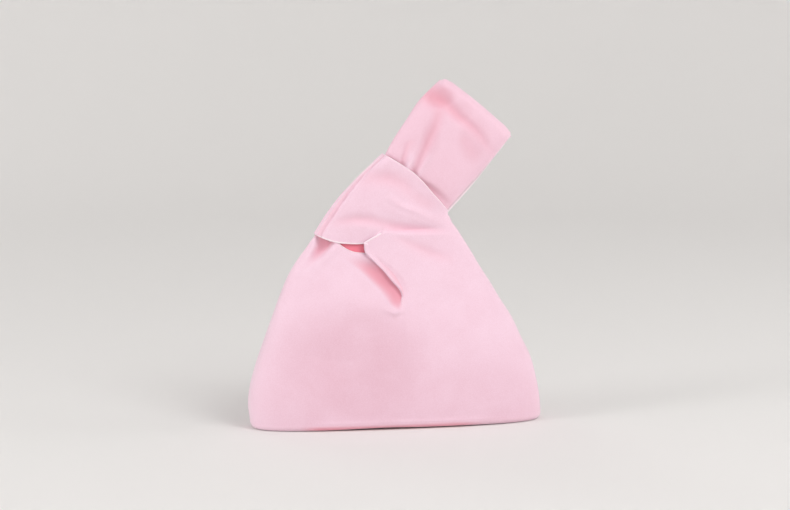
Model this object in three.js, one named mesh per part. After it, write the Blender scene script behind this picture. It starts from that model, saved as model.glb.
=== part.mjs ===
// A knotted fabric wrist bag, standing closed: a pouch with a boxed base, a short loop cut in one with the
// pouch's right side, and a long strap from its left side that passes through the short loop and ends in the
// carrying handle. The front faces -Y. The origin is under the middle of the base. Lengths are millimetres.
import * as THREE from "three";

// Pouch
const pouchWidth = 240;
const baseDepth = 64;
const baseCorner = 10;
const bellyHeight = 18.5;
const shoulderHeight = 162;
const mouthDip = 21;
const mouthSlotHalf = 3.2;
const sectionPower = 2.8;

// Cloth layers, from the outside in
const clothThickness = 1.2;
const waddingThickness = 1.4;
const boardThickness = 2;
const liningThickness = 0.6;
const layerGap = 0.3;
const pieceGap = 0.4;
const threadRadius = 0.45;

// Long strap. The knot point is where the middle of the strap leaves the short loop.
const strapWidth = 70;
const strapAngle = THREE.MathUtils.degToRad(50.6);
const knotOffset = 16.9;
const knotRise = 40;
const neckSlotHalf = 1;
const rootLength = 32;
const rootGap = 18;
const neckOverlap = 12;
const foldCentre = 24;
const handleLength = 81.4;
const handleCrown = 3;
const handleSlotHalf = 6;
const handleFoldLength = 8;

// Short loop
const loopWidth = 86;
const loopClearance = 0.7;
const loopFoldRoom = 1.7;
const loopFoldLength = 3.5;
const loopReach = 55;
const loopThreadInset = 2;

// Shape of the pouch's sides: height as a share of the shoulder's, then reach as a share of half the width
const leftSideShares = [
  [0.062, 0.985], [0.114, 1], [0.2, 0.99], [0.29, 0.962], [0.446, 0.894], [0.563, 0.839], [0.69, 0.777],
  [0.776, 0.729], [0.848, 0.675], [0.918, 0.606], [1, 0.54], [1.1, 0.44],
];
const rightSideShares = [
  [0.062, 0.99], [0.114, 1], [0.185, 0.985], [0.284, 0.957], [0.386, 0.919], [0.477, 0.86], [0.578, 0.795],
  [0.67, 0.716], [0.756, 0.648], [0.832, 0.572], [0.919, 0.517], [1, 0.44], [1.1, 0.363],
];
// Depth of the pouch: height as a share of the shoulder's, then how much of the base's fullness is left
const fullnessShares = [
  [0.062, 1], [0.25, 0.965], [0.494, 0.757], [0.605, 0.6], [0.68, 0.48], [0.741, 0.36], [0.802, 0.23],
  [0.845, 0.12], [0.88, 0.02], [0.9, 0], [1.1, 0],
];
// Pleat of the panel: height as a share of the shoulder's, then how far right of the middle its fold lies as a
// share of half the width, how far the cloth left of it is hollowed, and how far the cloth right of it stands up,
// both as shares of the base's half depth
const pleatLineShares = [
  [0.062, 0.02], [0.55, 0], [0.62, 0.01], [0.68, 0.022], [0.71, 0.003], [0.743, -0.04], [0.804, -0.107],
  [0.854, -0.175], [0.888, -0.215], [1, -0.23],
];
const pleatHollowShares = [[0.58, 0], [0.65, 0.17], [0.71, 0.2], [0.8, 0.14], [0.88, 0.03], [0.91, 0]];
const pleatRiseShares = [[0.62, 0], [0.7, 0.03], [0.78, 0.09], [0.84, 0.1], [0.88, 0.03], [0.9, 0]];
// Line of the mouth: distance right of the middle as a share of half the width, then depth below the shoulder
// as a share of the dip
const mouthLineShares = [
  [-0.7, 0.06], [-0.5, 0.11], [-0.25, 0.48], [0.1, 1], [0.16, 0.78], [0.23, 0.46], [0.32, 0.25], [0.44, 0.1],
  [0.6, 0],
];
// Heights, as shares of the shoulder's, between which the lining draws in behind the cloth, and between which
// the side seam opens
const liningLeaveShare = 0.79;
const liningTurnShare = 0.93;
const seamTopShare = 0.69;
const seamOpenShare = 0.93;
// Edges of the short loop: place across the strap as a share of half its width, then place along the strap as
// a share of the loop's width
const loopUpperShares = [
  [-1.6, -0.105], [-1, -0.005], [-0.43, 0.03], [0.21, 0.063], [0.74, 0.038], [1.15, 0.01],
];
const loopLowerShares = [
  [-1.6, -0.255], [-1, -0.4], [-0.146, -0.58], [-0.05, -0.643], [0.077, -0.756], [0.306, -0.843],
  [0.57, -0.913], [0.857, -0.95], [1.15, -0.965],
];
// Left edge of the strap: place along it as a share of the handle's length, then reach as a share of half its
// width
const strapEdgeShares = [[0, 0.965], [0.22, 0.975], [0.36, 1.05], [0.5, 1.085], [1, 1.06]];
// Opening of the handle: place along its free length as a share, then how far the slot has opened
const handleSwellShares = [[0, 0], [0.2, 0.5], [0.45, 0.95], [0.6, 1], [1, 0.75]];
// Half length of the bending piece, as a share of the strap's half thickness: enough for the handle's fold
const bendShare = 1.52;

// Widths beside the pleat's fold: of the step up to its right, low down and at the pleat, and of the hollow
const pleatSpacing = 18;
const pleatStep = 3;
const hollowWidth = 24;

// Grid steps of the cloth solids
const pouchColumns = 16;
const pleatColumn = 8;
const baseRows = 2;
const cornerRows = 3;
const wallRows = 11;
const waddingRows = 7;
const rowCrowding = 1.3;
const strapColumns = 8;
const rootRows = 5;
const neckRows = 2;
const handleRows = 6;
const foldSteps = 4;
const loopRows = 5;
const threadSides = 6;
const threadSteps = 12;
const searchSteps = 40;

const halfWidth = pouchWidth / 2;
const halfDepth = baseDepth / 2;
const halfStrap = strapWidth / 2;
const knotHeight = shoulderHeight + knotRise;
const strapStack = clothThickness + layerGap + liningThickness;
const mouthHalf = mouthSlotHalf + strapStack;
const neckHalf = neckSlotHalf + strapStack;
const seamHalf = threadRadius + layerGap;
const bendHalf = neckHalf * bendShare;
const bendStart = foldCentre - bendHalf;
const bendEnd = foldCentre + bendHalf;

// Insets of each layer's outer and inner faces from the pouch's surface: under the base, on the walls and at
// the mouth, where the wadding has stopped
const clothFaces = [0, clothThickness];
const clothLayer = { base: clothFaces, wall: clothFaces, mouth: clothFaces };
const waddingInset = clothThickness + layerGap;
const waddingFaces = [waddingInset, waddingInset + waddingThickness];
const waddingLayer = { base: waddingFaces, wall: waddingFaces, mouth: waddingFaces };
const boardHeight = waddingInset + waddingThickness + layerGap;
const liningBase = boardHeight + boardThickness + layerGap;
const liningLayer = {
  base: [liningBase, liningBase + liningThickness],
  wall: [boardHeight, boardHeight + liningThickness],
  mouth: [waddingInset, waddingInset + liningThickness],
};
// Distances of each strap layer's outer and inner faces from the slot between front and back
const webLayer = [strapStack, strapStack - clothThickness];
const webLiningLayer = [liningThickness, 0];

const colours = { cloth: 0xf6cfdf, lining: 0xee9fb2, wadding: 0xf4f0ee, board: 0xd8d2c8, thread: 0xfbdfea };
const mix = (a, b, t) => a + (b - a) * t;
const ease = THREE.MathUtils.smoothstep;

// Smooth curve through a table of [place, value] pairs, level beyond its ends.
function follow(table, place) {
  const last = table.length - 1;
  const t = THREE.MathUtils.clamp(place, table[0][0], table[last][0]);
  let i = 0;
  while (i < last - 1 && t > table[i + 1][0]) i++;
  const slope = (k) => {
    const before = table[Math.max(k - 1, 0)];
    const after = table[Math.min(k + 1, last)];
    return (after[1] - before[1]) / (after[0] - before[0]);
  };
  const span = table[i + 1][0] - table[i][0];
  const s = (t - table[i][0]) / span;
  const rise = s * s * (3 - 2 * s);
  const leave = s * (1 - s) * (1 - s) * span * slope(i);
  const arrive = s * s * (s - 1) * span * slope(i + 1);
  return mix(table[i][1], table[i + 1][1], rise) + leave + arrive;
}

// Closed solid of a sheet: place(column, row, face) gives a point of the outer face (0) or the inner one (1).
function sheet(columns, rows, place) {
  const points = [];
  const index = [];
  const at = (face, i, j) => (face * (rows + 1) + j) * (columns + 1) + i;
  const quad = (a, b, c, d) => index.push(a, b, c, a, c, d);
  for (const face of [0, 1]) {
    for (let j = 0; j <= rows; j++) {
      for (let i = 0; i <= columns; i++) points.push(...place(i, j, face));
    }
  }
  for (let j = 0; j < rows; j++) {
    for (let i = 0; i < columns; i++) {
      quad(at(0, i, j), at(0, i + 1, j), at(0, i + 1, j + 1), at(0, i, j + 1));
      quad(at(1, i, j), at(1, i, j + 1), at(1, i + 1, j + 1), at(1, i + 1, j));
    }
    quad(at(0, 0, j), at(0, 0, j + 1), at(1, 0, j + 1), at(1, 0, j));
    quad(at(0, columns, j), at(1, columns, j), at(1, columns, j + 1), at(0, columns, j + 1));
  }
  for (let i = 0; i < columns; i++) {
    quad(at(0, i, 0), at(1, i, 0), at(1, i + 1, 0), at(0, i + 1, 0));
    quad(at(0, i, rows), at(0, i + 1, rows), at(1, i + 1, rows), at(1, i, rows));
  }
  return outward(points, index);
}

// Indexed geometry with its faces turned outwards.
function outward(points, index) {
  const corner = (k) => new THREE.Vector3().fromArray(points, 3 * index[k]);
  let volume = 0;
  for (let k = 0; k < index.length; k += 3) volume += corner(k).dot(corner(k + 1).cross(corner(k + 2)));
  const geometry = new THREE.BufferGeometry();
  geometry.setAttribute("position", new THREE.Float32BufferAttribute(points, 3));
  geometry.setIndex(volume > 0 ? index : index.reverse());
  geometry.computeVertexNormals();
  return geometry;
}

// Thread: a thin tube through points.
function thread(points) {
  const section = new THREE.Shape();
  for (let k = 0; k < threadSides; k++) {
    const turn = (2 * Math.PI * k) / threadSides;
    section[k ? "lineTo" : "moveTo"](threadRadius * Math.cos(turn), threadRadius * Math.sin(turn));
  }
  const path = new THREE.CatmullRomCurve3(points.map((p) => new THREE.Vector3(...p)));
  return new THREE.ExtrudeGeometry(section, { steps: threadSteps, extrudePath: path });
}

// Half of the pouch's plan at a height, drawn in by cut: across runs from the left seam (0) to the right (1).
function plan(across, z, cut, inset) {
  const height = z / shoulderHeight;
  const along = -Math.cos(Math.PI * across);
  const reach = halfWidth * follow(along < 0 ? leftSideShares : rightSideShares, height) - cut;
  const x = Math.sign(along) * Math.abs(along) ** (2 / sectionPower) * reach;
  const edge = mix(seamHalf, mouthHalf - inset, ease(height, seamTopShare, seamOpenShare));
  const depth = mix(mouthHalf, halfDepth, Math.max(follow(fullnessShares, height), 0)) - cut;
  const y = mix(edge, depth, Math.abs(Math.sin(Math.PI * across)) ** (2 / sectionPower));
  return [x, y];
}

// Place across the plan, from the left seam (0) to the right (1), of a distance right of the middle.
function acrossAt(x, height) {
  const reach = halfWidth * follow(x < 0 ? leftSideShares : rightSideShares, height);
  return Math.acos(-Math.sign(x) * (Math.abs(x) / reach) ** (sectionPower / 2)) / Math.PI;
}

// Place across the plan of a grid column at a height: one column runs up the pleat's fold, the next beside it.
function columnPlace(i, z) {
  const height = z / shoulderHeight;
  const fold = halfWidth * follow(pleatLineShares, height);
  const step = mix(pleatSpacing, pleatStep, ease(height, pleatLineShares[1][0], pleatLineShares[3][0]));
  if (i <= pleatColumn) return (acrossAt(fold, height) * i) / pleatColumn;
  const beside = acrossAt(fold + step, height);
  return mix(beside, 1, (i - pleatColumn - 1) / (pouchColumns - pleatColumn - 1));
}

// How far the cloth of a grid column stands out because of the pleat.
function pleatRelief(i, z) {
  const height = z / shoulderHeight;
  const x = plan(columnPlace(i, z), z, 0, 0)[0];
  const fold = halfWidth * follow(pleatLineShares, height);
  const rise = halfDepth * Math.max(follow(pleatRiseShares, height), 0);
  const hollow = halfDepth * Math.max(follow(pleatHollowShares, height), 0);
  return i > pleatColumn ? rise * (1 - ease(x, 0, halfWidth / 2)) : -hollow * ease(x, fold - hollowWidth, fold);
}

function mouthLine(x) {
  return shoulderHeight - mouthDip * follow(mouthLineShares, x / halfWidth);
}

// Height of the mouth line over a grid column of the pouch.
function mouthOver(i, inset) {
  let z = shoulderHeight;
  for (let k = 0; k < searchSteps; k++) z = mouthLine(plan(columnPlace(i, z), z, inset, inset)[0]);
  return z;
}

// One layer of the pouch's front (side -1) or back (side 1): half the base, the rounded corner and the wall.
function pouchHalf(side, layer, rows) {
  const cornerTurn = Math.PI / 2 / cornerRows;
  const place = (i, j, face) => {
    const across = columnPlace(i, baseCorner);
    if (j < baseRows) {
      const [x, y] = plan(across, baseCorner, baseCorner, layer.base[face]);
      const spine = x * (1 - (halfDepth - baseCorner) / halfWidth);
      return [mix(spine, x, j / baseRows), side * mix(seamHalf, y, j / baseRows), layer.base[face]];
    }
    if (j < baseRows + cornerRows) {
      const row = j - baseRows;
      const inset = mix(layer.base[face], layer.wall[face], row / cornerRows);
      const radius = baseCorner - inset;
      const turn = cornerTurn * row;
      const [x, y] = plan(across, baseCorner, baseCorner - radius * Math.sin(turn), inset);
      return [x, side * y, baseCorner - radius * Math.cos(turn)];
    }
    const row = j - baseRows - cornerRows;
    const rise = 1 - (1 - Math.max(row - 1, 0) / (wallRows - 1)) ** rowCrowding;
    const z = row === 0 ? baseCorner : mix(bellyHeight, mouthOver(i, layer.mouth[face]), rise);
    const turned = ease(z / shoulderHeight, liningLeaveShare, liningTurnShare);
    const inset = mix(layer.wall[face], layer.mouth[face], turned);
    const [x, y] = plan(columnPlace(i, z), z, inset, inset);
    const relief = row === 0 ? 0 : pleatRelief(i, mix(bellyHeight, mouthOver(i, 0), rise));
    return [x, side * (y + relief), z];
  };
  return sheet(pouchColumns, baseRows + cornerRows + rows, place);
}

// Stiffening board in the base, between the wadding and the lining.
function board() {
  const outline = [];
  for (let i = 0; i < 2 * pouchColumns; i++) {
    const side = i < pouchColumns ? -1 : 1;
    const column = side < 0 ? i : 2 * pouchColumns - i;
    const [x, y] = plan(columnPlace(column, baseCorner), baseCorner, baseCorner, 0);
    outline.push(new THREE.Vector2(x, i % pouchColumns ? side * y : 0));
  }
  return new THREE.ExtrudeGeometry(new THREE.Shape(outline), { depth: boardThickness, bevelEnabled: false });
}

// Point in the strap's own directions: along it from the knot point, across it to the upper left, and front
// (-) or back (+).
function onStrap(along, across, y) {
  return [
    knotOffset + along * Math.cos(strapAngle) - across * Math.sin(strapAngle),
    y,
    knotHeight + along * Math.sin(strapAngle) + across * Math.cos(strapAngle),
  ];
}

// Points of the mouth's edge at the pouch's grid columns, from left to right.
const mouthEdge = [];
for (let i = 0; i <= pouchColumns; i++) {
  const z = mouthOver(i, 0);
  mouthEdge.push([plan(columnPlace(i, z), z, 0, 0)[0], z]);
}

// Height of the mouth's edge at a distance right of the middle.
function mouthEdgeHeight(x) {
  const next = mouthEdge.findIndex((point, i) => i > 0 && (point[0] > x || i === pouchColumns));
  const [before, after] = [mouthEdge[next - 1], mouthEdge[next]];
  return mix(before[1], after[1], (x - before[0]) / (after[0] - before[0]));
}

// Place along the strap where a line down it meets the pouch's mouth.
function rootFoot(across) {
  let low = -rootGap - 2 * loopWidth;
  let high = -rootGap;
  for (let k = 0; k < searchSteps; k++) {
    const middle = (low + high) / 2;
    const [x, , z] = onStrap(middle, across, 0);
    if (z < mouthEdgeHeight(x) + pieceGap) low = middle;
    else high = middle;
  }
  return high;
}

// Half thickness of the flattened strap without its layers: the mouth's at its foot, narrow in the knot.
function strapSlot(along) {
  return mix(mouthSlotHalf, neckSlotHalf, ease(along, -rootGap - rootLength, -rootGap));
}

// Place across the strap: share runs from its right edge (-1) to its left edge (1).
function strapAcross(share, along) {
  if (share < 0 || along <= -rootGap) return share * halfStrap;
  return share * halfStrap * follow(strapEdgeShares, along / handleLength);
}

// Flat strap layer between two ends, which may depend on the place across.
function strapLayer(side, layer, rows, start, end) {
  return sheet(strapColumns, rows, (i, j, face) => {
    const share = (2 * i) / strapColumns - 1;
    const first = start(share * halfStrap);
    const along = mix(first, end, j / rows);
    return onStrap(along, strapAcross(share, along), side * (strapSlot(along) + layer[face]));
  });
}

// Layer of the handle: it opens out along its length and folds over at the top.
function handleLayer(side, layer) {
  const start = bendEnd + layerGap;
  return sheet(strapColumns, handleRows + foldSteps, (i, j, face) => {
    const share = (2 * i) / strapColumns - 1;
    const top = handleLength + handleCrown * (1 - share * share);
    const foldStart = top - handleFoldLength;
    const rise = Math.min(j / handleRows, 1);
    const straight = mix(start, foldStart, rise);
    const open = follow(handleSwellShares, rise);
    const half = mix(neckSlotHalf, handleSlotHalf, open) + layer[face];
    const turn = (Math.acos(seamHalf / half) * Math.max(j - handleRows, 0)) / foldSteps;
    const along = straight + (handleFoldLength - strapStack + layer[face]) * Math.sin(turn);
    return onStrap(along, strapAcross(share, along), side * half * Math.cos(turn));
  });
}

// Layer of the short loop: it lies over the strap and turns round its left edge.
function loopLayer(side, layer) {
  const turnStart = halfStrap + loopFoldRoom;
  return sheet(strapColumns + foldSteps, loopRows, (i, j, face) => {
    const straight = mix(-loopReach, turnStart, Math.min(i / strapColumns, 1));
    const rise = j / loopRows;
    const edges = (across) => [
      loopWidth * follow(loopLowerShares, across / halfStrap),
      loopWidth * follow(loopUpperShares, across / halfStrap),
    ];
    const steps = Math.max(i - strapColumns, 0) / foldSteps;
    const along = mix(...edges(straight), rise);
    const narrow = ease(rise, 0, 1) * ease(straight, -halfStrap, 0);
    const slot = Math.max(strapSlot(along), mix(mouthSlotHalf, neckSlotHalf, narrow));
    const half = slot + strapStack + loopClearance + layer[face];
    const turn = Math.acos(seamHalf / half) * steps;
    const across = straight + (loopFoldLength - strapStack + layer[face]) * Math.sin(turn);
    return onStrap(mix(...edges(across), rise), across, side * half * Math.cos(turn));
  });
}

// Thread of a side seam, from the edge of the base to where the seam opens.
function sideThread(side) {
  const depth = clothThickness / 2;
  const radius = baseCorner - depth;
  const across = side < 0 ? 0 : 1;
  const points = [];
  for (let k = 0; k < cornerRows; k++) {
    const turn = (Math.PI / 2 / cornerRows) * k;
    const cut = baseCorner - radius * Math.sin(turn);
    points.push([plan(across, baseCorner, cut, 0)[0], 0, baseCorner - radius * Math.cos(turn)]);
  }
  for (let k = 0; k <= wallRows; k++) {
    const z = mix(baseCorner, seamTopShare * shoulderHeight, k / wallRows);
    points.push([plan(across, z, depth, 0)[0], 0, z]);
  }
  return thread(points);
}

function baseThread() {
  const ends = [0, 1].map((across) => plan(across, baseCorner, baseCorner, 0)[0]);
  const inset = threadRadius + layerGap;
  return thread([
    [ends[0] + inset, 0, clothThickness / 2],
    [ends[1] - inset, 0, clothThickness / 2],
  ]);
}

function loopThread() {
  const across = halfStrap + loopFoldRoom + loopFoldLength - clothThickness / 2;
  const lower = loopWidth * follow(loopLowerShares, across / halfStrap) + loopThreadInset;
  const upper = loopWidth * follow(loopUpperShares, across / halfStrap) - loopThreadInset;
  return thread([onStrap(lower, across, 0), onStrap(upper, across, 0)]);
}

function handleThread() {
  const points = [];
  for (let k = 0; k <= strapColumns; k++) {
    const share = (1 - loopThreadInset / halfStrap) * ((2 * k) / strapColumns - 1);
    const along = handleLength + handleCrown * (1 - share * share) - clothThickness / 2;
    points.push(onStrap(along, strapAcross(share, along), 0));
  }
  return thread(points);
}

const bag = new THREE.Group();

function add(name, geometry, colour, roughness = 0.95) {
  const material = new THREE.MeshStandardMaterial({ color: colour, roughness, metalness: 0 });
  const mesh = new THREE.Mesh(geometry, material);
  mesh.name = name;
  bag.add(mesh);
  return mesh;
}

const rootEnd = -rootGap;
const neckFoot = () => -neckOverlap;
const neckEnd = bendStart - layerGap;
const bendFoot = () => bendStart;
const bendLayer = [strapStack, 0];
for (const [name, side] of [["front", -1], ["back", 1]]) {
  add(`outer_${name}_panel`, pouchHalf(side, clothLayer, wallRows), colours.cloth);
  add(`wadding_${name}`, pouchHalf(side, waddingLayer, waddingRows), colours.wadding);
  add(`lining_${name}`, pouchHalf(side, liningLayer, wallRows), colours.lining);
  add(`strap_root_${name}`, strapLayer(side, webLayer, rootRows, rootFoot, rootEnd), colours.cloth);
  const rootLining = strapLayer(side, webLiningLayer, rootRows, rootFoot, rootEnd);
  add(`strap_root_lining_${name}`, rootLining, colours.lining);
  add(`loop_${name}_web`, loopLayer(side, webLayer), colours.cloth);
  add(`loop_${name}_lining`, loopLayer(side, webLiningLayer), colours.lining);
  add(`neck_${name}_web`, strapLayer(side, webLayer, neckRows, neckFoot, neckEnd), colours.cloth);
  add(`neck_${name}_lining`, strapLayer(side, webLiningLayer, neckRows, neckFoot, neckEnd), colours.lining);
  add(`strap_bend_${name}`, strapLayer(side, bendLayer, neckRows, bendFoot, bendEnd), colours.cloth);
  add(`handle_${name}_web`, handleLayer(side, webLayer), colours.cloth);
  add(`handle_${name}_lining`, handleLayer(side, webLiningLayer), colours.lining);
}
add("base_board", board(), colours.board).position.z = boardHeight;
add("side_seam_thread_left", sideThread(-1), colours.thread);
add("side_seam_thread_right", sideThread(1), colours.thread);
add("base_seam_thread", baseThread(), colours.thread);
add("loop_seam_thread", loopThread(), colours.thread);
add("handle_seam_thread", handleThread(), colours.thread);

export default bag;
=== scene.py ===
import math

import bpy
import numpy as np
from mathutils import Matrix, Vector


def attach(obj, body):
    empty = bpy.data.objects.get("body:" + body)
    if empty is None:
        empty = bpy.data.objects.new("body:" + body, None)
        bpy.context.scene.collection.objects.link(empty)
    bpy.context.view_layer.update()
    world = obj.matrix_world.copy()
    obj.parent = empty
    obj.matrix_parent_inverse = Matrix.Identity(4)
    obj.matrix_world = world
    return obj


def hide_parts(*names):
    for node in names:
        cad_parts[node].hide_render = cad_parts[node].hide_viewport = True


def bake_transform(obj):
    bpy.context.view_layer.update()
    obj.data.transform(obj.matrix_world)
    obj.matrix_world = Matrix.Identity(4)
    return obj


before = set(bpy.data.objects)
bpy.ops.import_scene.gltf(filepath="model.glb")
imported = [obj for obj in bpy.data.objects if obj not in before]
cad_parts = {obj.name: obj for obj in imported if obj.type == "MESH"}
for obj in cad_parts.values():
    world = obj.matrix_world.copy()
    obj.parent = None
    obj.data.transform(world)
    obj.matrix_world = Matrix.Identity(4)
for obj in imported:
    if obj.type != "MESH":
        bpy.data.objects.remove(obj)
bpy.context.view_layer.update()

# Millimetres are used for every length in this file. Meshes are written in metres.
MM = 0.001

# Camera
CAMERA_AZIMUTH = -10.0
CAMERA_ELEVATION = 8.5
CAMERA_DISTANCE = 2000.0
CAMERA_TARGET = (0.7, 0.0, 139.8)
CAMERA_LENS = 111.0
CAMERA_SENSOR = 36.0

# Thickness of outer cloth and lining, and half the gap between front and back at a sewn edge
WEB = 1.2
LINING = 0.5
SEAM_HALF = 0.4
# Distance between two layers of cloth that lie on each other
LAYER_GAP = 0.2
# Rounding of the base's edge, and power of the pouch's rounded section
BASE_RADIUS = 5.0
SECTION_POWER = 2.8

# Frame of the strap: the knot point, and the direction along the strap
KNOT = np.array([16.9, 202.0])
STRAP_ANGLE = math.radians(50.6)
ALONG = np.array([math.cos(STRAP_ANGLE), math.sin(STRAP_ANGLE)])
ACROSS = np.array([-math.sin(STRAP_ANGLE), math.cos(STRAP_ANGLE)])

# Outer sides of the bag: height, then distance right of the middle
LEFT_SIDE = [
    (5, -119.9), (18.6, -121.3), (32.8, -119.9), (46.4, -116.5), (71.5, -108.1), (90.4, -101.3),
    (110.9, -93.8), (124.8, -87.9), (136.2, -81.3), (147.5, -73), (154, -68.4), (160, -63.2),
    (169.4, -56.5), (176, -51.5),
]
RIGHT_SIDE = [
    (5, 123.6), (20.2, 122.2), (37, 118.9), (54.2, 114), (69.7, 106.4), (86.8, 98.2), (102.3, 88.3),
    (116.8, 79.6), (129.6, 71.3), (144, 62.8), (158.4, 53.7), (174.4, 44.6), (193.1, 59.1),
    (212.1, 75.8), (237.8, 97.5),
]
# Left fold of the short loop
BAND_SIDE = [
    (159.2, -65.9), (169.4, -59.5), (184.7, -48.4), (202.5, -32.6), (217.1, -16.8), (223.3, -9.6),
]

# Half depth of the pouch and of the short loop by height
BODY_DEPTH = [(5, 31.2), (14, 32), (40, 31), (80, 25.5), (98, 21.5), (110, 18.5)]
LEAST_DEPTH = 1.8
LEFT_DEPTH = BODY_DEPTH + [(120, 15.5), (130, 12.6), (141, 9.9), (150, 8.1), (160, 6.6), (176, 5.4)]
RIGHT_DEPTH = BODY_DEPTH + [(120, 16.6), (130, 14.6), (141, 12.8), (150, 11.7), (160, 11)]
BAND_DEPTH = [(150, 8.2), (156, 8.6), (164, 9.2), (172, 9.2), (185, 9.2), (200, 8.8), (226, 8.2)]
# Facet of the short loop beside its left fold: height, then width
FACET_WIDTH = [(159, 5.2), (175, 4.6), (190, 3.4), (203, 2.2), (215, 1.4)]
# Share of the depth by distance from the fold, in widths of the facet
FOLD_SHARES = [
    (0, 0), (0.1, 0.28), (0.35, 0.45), (0.78, 0.54), (0.92, 0.52), (1, 0.5), (1.1, 0.62), (1.3, 0.72),
    (2.1, 0.85), (3.4, 0.94), (6, 1),
]


def follow(table, place):
    """Smooth curve through rows of place and value, level beyond its ends."""
    at, value = np.array(table, float).T
    slope = np.gradient(value, at)
    place = np.clip(np.asarray(place, float), at[0], at[-1])
    i = np.clip(np.searchsorted(at, place, side="right") - 1, 0, len(at) - 2)
    span = at[i + 1] - at[i]
    s = (place - at[i]) / span
    rise = s * s * (3 - 2 * s)
    leave = s * (1 - s) ** 2 * span * slope[i]
    arrive = s * s * (s - 1) * span * slope[i + 1]
    return value[i] + (value[i + 1] - value[i]) * rise + leave + arrive


def ease(place, start, end):
    """0 before start, 1 after end, and smooth between them."""
    s = np.clip((np.asarray(place, float) - start) / (end - start), 0, 1)
    return s * s * (3 - 2 * s)


def mix(a, b, share):
    return a + (b - a) * share


def spread(count):
    """Places from 0 to 1, close together at both ends."""
    return 0.5 - 0.5 * np.cos(np.pi * np.linspace(0, 1, count + 1))


def run_along(points):
    """Distance of each point from the first, along the line of points."""
    return np.concatenate([[0], np.cumsum(np.linalg.norm(np.diff(points, axis=0), axis=1))])


def curve_points(points, count, places=None):
    """Points along a smooth curve through points, evenly or at given shares of its length."""
    points = np.array(points, float)
    run = run_along(points)
    wanted = (np.linspace(0, 1, count + 1) if places is None else places) * run[-1]
    return np.stack([follow(np.stack([run, values], 1), wanted) for values in points.T], -1)


def at_depth(place, depth):
    """Points in space, from places in the front plane and depths."""
    return np.stack([place[..., 0], depth, place[..., 1]], -1)


def nearest_on_line(line, x, z, measure):
    """What measure gives at each place for the nearest stretch of a line of points."""
    rows = np.array(line, float)
    nearest = np.full(np.broadcast(x, z).shape, np.inf)
    found = np.zeros(nearest.shape)
    for start, end in zip(rows[:-1], rows[1:]):
        step = end[:2] - start[:2]
        t = np.clip(((x - start[0]) * step[0] + (z - start[1]) * step[1]) / (step @ step), 0, 1)
        gap = np.hypot(x - start[0] - t * step[0], z - start[1] - t * step[1])
        found = np.where(gap < nearest, measure(start, end, t, gap), found)
        nearest = np.minimum(gap, nearest)
    return found


def crests(lines, x, z):
    """Sum of soft ridges and valleys. Each line has rows of x, z, height and width."""

    def swell(start, end, t, gap):
        height, width = mix(start[2], end[2], t), mix(start[3], end[3], t)
        return height * np.exp(-((gap / width) ** 2))

    total = np.zeros(np.broadcast(x, z).shape)
    for line in lines:
        total += nearest_on_line(line, x, z, swell)
    return total


def signed_gap(line, x, z):
    """Distance from a line of points, positive on its left as it runs."""

    def on_side(start, end, t, gap):
        step = end - start
        return np.sign(step[0] * (z - start[1]) - step[1] * (x - start[0])) * gap

    return nearest_on_line(line, x, z, on_side)


# Meshes

def grid_faces(index):
    """Four-cornered faces between the neighbours of a grid of point numbers."""
    a, b, c, d = index[:-1, :-1], index[:-1, 1:], index[1:, 1:], index[1:, :-1]
    return np.stack([a, b, c, d], -1).reshape(-1, 4)


def tube_faces(index):
    """Faces of a closed tube, from its rings of point numbers."""
    tube = grid_faces(np.concatenate([index, index[:, :1]], 1)).tolist()
    return tube + [index[0, ::-1].tolist(), index[-1].tolist()]


def point_normals(points, faces):
    """Normal at each point, from the faces around it."""
    across = points[faces[:, 2]] - points[faces[:, 0]]
    up = points[faces[:, 3]] - points[faces[:, 1]]
    normal = np.cross(across, up)
    total = np.zeros_like(points)
    for corner in range(4):
        np.add.at(total, faces[:, corner], normal)
    return total / np.maximum(np.linalg.norm(total, axis=1, keepdims=True), 1e-9)


# Shares of the half turn round a rim at which it has points
RIM_TURNS = (0.25, 0.5, 0.75)
# Rims further than this from the middle plane are free edges, the others are sewn
FREE_EDGE = 1.4


def thicken(points, faces, painted_shade, thickness):
    """Closed sheet below a surface: points, faces, painted shade at each point, and which faces are free
    rims.
    """
    normal = point_normals(points, faces)
    count = len(points)
    sides = np.concatenate([faces[:, [k, (k + 1) % 4]] for k in range(4)])
    key = np.sort(sides, axis=1) @ np.array([count, 1])
    _, first, times = np.unique(key, return_index=True, return_counts=True)
    border = sides[first[times == 1]]
    outward = np.zeros_like(points)
    run = points[border[:, 1]] - points[border[:, 0]]
    for corner in range(2):
        np.add.at(outward, border[:, corner], np.cross(run, normal[border[:, corner]]))
    length = np.linalg.norm(outward, axis=1, keepdims=True)
    outward /= np.maximum(length, 1e-9)
    used = np.unique(border)
    place = np.full(count, -1)
    place[used] = np.arange(len(used))
    middle = points[used] - normal[used] * (thickness / 2)
    rows = []
    for turn in RIM_TURNS:
        angle = math.pi * turn
        out = normal[used] * math.cos(angle) + outward[used] * math.sin(angle)
        rows.append(middle + out * (thickness / 2))
    everything = np.concatenate([points, points - normal * thickness] + rows)

    def at(level, corner):
        """Numbers of the rim's points in a row, from the upper face (0) to the lower."""
        if level == 0:
            return border[:, corner]
        if level == len(RIM_TURNS) + 1:
            return border[:, corner] + count
        return 2 * count + (level - 1) * len(used) + place[border[:, corner]]

    rims = [
        np.stack([at(level, 1), at(level, 0), at(level + 1, 0), at(level + 1, 1)], 1)
        for level in range(len(RIM_TURNS) + 1)
    ]
    rim_faces = np.concatenate(rims)
    all_faces = np.concatenate([faces, faces[:, ::-1] + count, rim_faces])
    free = np.abs(points[border[:, 0], 1]) > FREE_EDGE
    free_rims = np.concatenate([np.zeros(2 * len(faces), int), np.tile(free, len(rims)).astype(int)])
    painted_shade = np.concatenate([painted_shade, painted_shade] + [painted_shade[used]] * len(RIM_TURNS))
    return everything, all_faces, painted_shade, free_rims


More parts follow.
